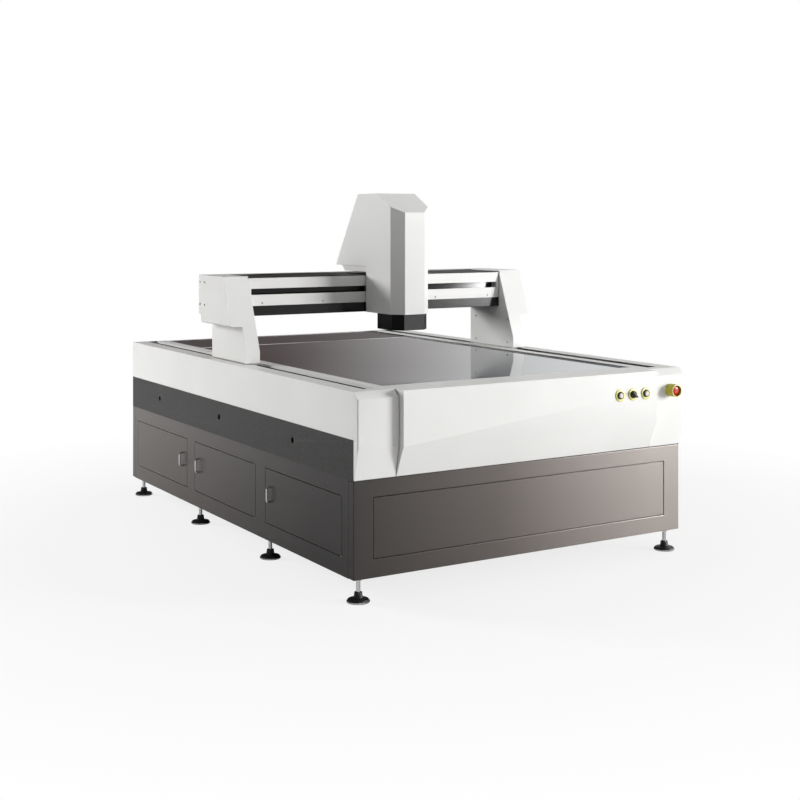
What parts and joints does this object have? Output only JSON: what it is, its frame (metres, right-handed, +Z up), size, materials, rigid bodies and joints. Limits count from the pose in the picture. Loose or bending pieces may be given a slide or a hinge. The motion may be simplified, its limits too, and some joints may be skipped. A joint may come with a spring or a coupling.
{
  "type": "vision measuring machine",
  "caption": "Floor-standing gantry vision measuring machine: glass stage on a granite table over a steel cabinet, camera head on a travelling bridge.",
  "frame": {"origin": "on the floor under the middle of the whole machine", "axes": "+X to the machine's right, +Y to its rear, +Z up"},
  "size_m": [1.67, 2.474, 1.579],
  "materials": {
    "white_paint": "smooth warm-white powder coat",
    "taupe_paint": "satin metallic taupe paint",
    "granite": "ground black granite with fine speckle",
    "black_metal": "black anodised",
    "steel": "ground steel",
    "chrome": "polished chrome",
    "glass": "polished float glass",
    "light_panel": "opal diffuser",
    "cast": "painted casting",
    "aluminium": "milled and clear anodised",
    "black_plastic": "matt black",
    "pale_plastic": "pale button",
    "red_plastic": "red mushroom head",
    "yellow_plastic": "yellow rings and collar",
    "magnet": "nickel-plated magnets on a steel yoke"
  },
  "bodies": {
    "machine_base": {"front_frame": "taupe_paint", "rear_frame": "taupe_paint", "left_side_frame": "taupe_paint", "right_side_frame": "taupe_paint", "cabinet_floor": "taupe_paint", "front_panel": "taupe_paint", "fixed_panels": "taupe_paint", "hinge_pins": "steel", "foot_pads": "black_plastic", "foot_stems": "chrome", "granite_base": "granite", "left_side_cover": "white_paint", "right_side_cover": "white_paint", "slot_strips": "white_paint", "front_cover": "white_paint", "left_front_cap": "white_paint", "right_front_cap": "white_paint", "rear_cover": "white_paint", "rear_deck": "black_metal", "stage_frame": "black_metal", "glass_stage": "glass", "backlight_panel": "light_panel", "guide_rails": "steel", "magnet_tracks": "magnet", "control_housings": "yellow_plastic", "controller_box": "taupe_paint"},
    "front_door_leaf": {"front_door": "taupe_paint", "front_door_handle": "chrome"},
    "middle_door_leaf": {"middle_door": "taupe_paint", "middle_door_handle": "chrome"},
    "rear_door_leaf": {"rear_door": "taupe_paint", "rear_door_handle": "chrome"},
    "start_button": {"start_button": "pale_plastic"},
    "reset_button": {"reset_button": "pale_plastic"},
    "selector_lever": {"selector_lever": "black_plastic"},
    "stop_stem": {"stop_stem": "black_plastic"},
    "stop_knob": {"stop_knob": "red_plastic"},
    "gantry": {"left_leg_cover": "white_paint", "right_leg_cover": "white_paint", "leg_castings": "cast", "gantry_blocks": "steel", "gantry_coils": "black_metal", "cross_beam": "granite", "beam_top_plate": "black_metal", "beam_upper_cover": "white_paint", "beam_lower_cover": "white_paint", "beam_rear_cover": "white_paint", "beam_rails": "steel"},
    "head": {"x_blocks": "steel", "x_carriage": "aluminium", "head_saddle": "white_paint", "head_cover": "white_paint", "z_motor": "black_metal", "z_rails": "steel"},
    "focus_screw": {"z_screw": "steel"},
    "optics": {"focus_slide": "aluminium", "zoom_lens": "black_metal", "camera": "black_metal", "nose_cover": "black_metal", "ring_light": "light_panel"}
  },
  "joints": [
    {"name": "gantry_travel", "type": "slide", "parent": "machine_base", "child": "gantry", "axis": [0, 1, 0], "range_m": [-0.573, 0.627]},
    {"name": "head_travel", "type": "slide", "parent": "gantry", "child": "head", "axis": [1, 0, 0], "range_m": [-0.519, 0.481]},
    {"name": "focus_travel", "type": "slide", "parent": "head", "child": "optics", "axis": [0, 0, 1], "range_m": [-0.125, 0.06]},
    {"name": "focus_screw_turn", "type": "hinge", "parent": "head", "child": "focus_screw", "pos_m": [0.026, -0.0185, 1.26], "axis": [0, 0, 1], "range_deg": [-4600, 2200]},
    {"name": "front_door_swing", "type": "hinge", "parent": "machine_base", "child": "front_door_leaf", "pos_m": [-0.808, -1.054, 0.282], "axis": [0, 0, 1], "range_deg": [0, 110]},
    {"name": "middle_door_swing", "type": "hinge", "parent": "machine_base", "child": "middle_door_leaf", "pos_m": [-0.808, -0.28, 0.282], "axis": [0, 0, 1], "range_deg": [0, 110]},
    {"name": "rear_door_swing", "type": "hinge", "parent": "machine_base", "child": "rear_door_leaf", "pos_m": [-0.808, 1.152, 0.282], "axis": [0, 0, -1], "range_deg": [0, 110]},
    {"name": "start_button_press", "type": "slide", "parent": "machine_base", "child": "start_button", "axis": [0, 1, 0], "range_m": [0, 0.004], "stiffness_N_per_m": 500},
    {"name": "reset_button_press", "type": "slide", "parent": "machine_base", "child": "reset_button", "axis": [0, 1, 0], "range_m": [0, 0.004], "stiffness_N_per_m": 500},
    {"name": "selector_turn", "type": "hinge", "parent": "machine_base", "child": "selector_lever", "pos_m": [0.509, -1.217, 0.714], "axis": [0, 1, 0], "range_deg": [0, 90]},
    {"name": "stop_press", "type": "slide", "parent": "machine_base", "child": "stop_stem", "axis": [0, 1, 0], "range_m": [0, 0.006]},
    {"name": "stop_twist", "type": "hinge", "parent": "stop_stem", "child": "stop_knob", "pos_m": [0.747, -1.215, 0.714], "axis": [0, -1, 0], "range_deg": [0, 35], "stiffness_Nm_per_rad": 0.5}
  ],
  "couplings": [
    {"joint": "focus_screw_turn", "follows": "focus_travel", "rad_per_m": 628.32}
  ]
}
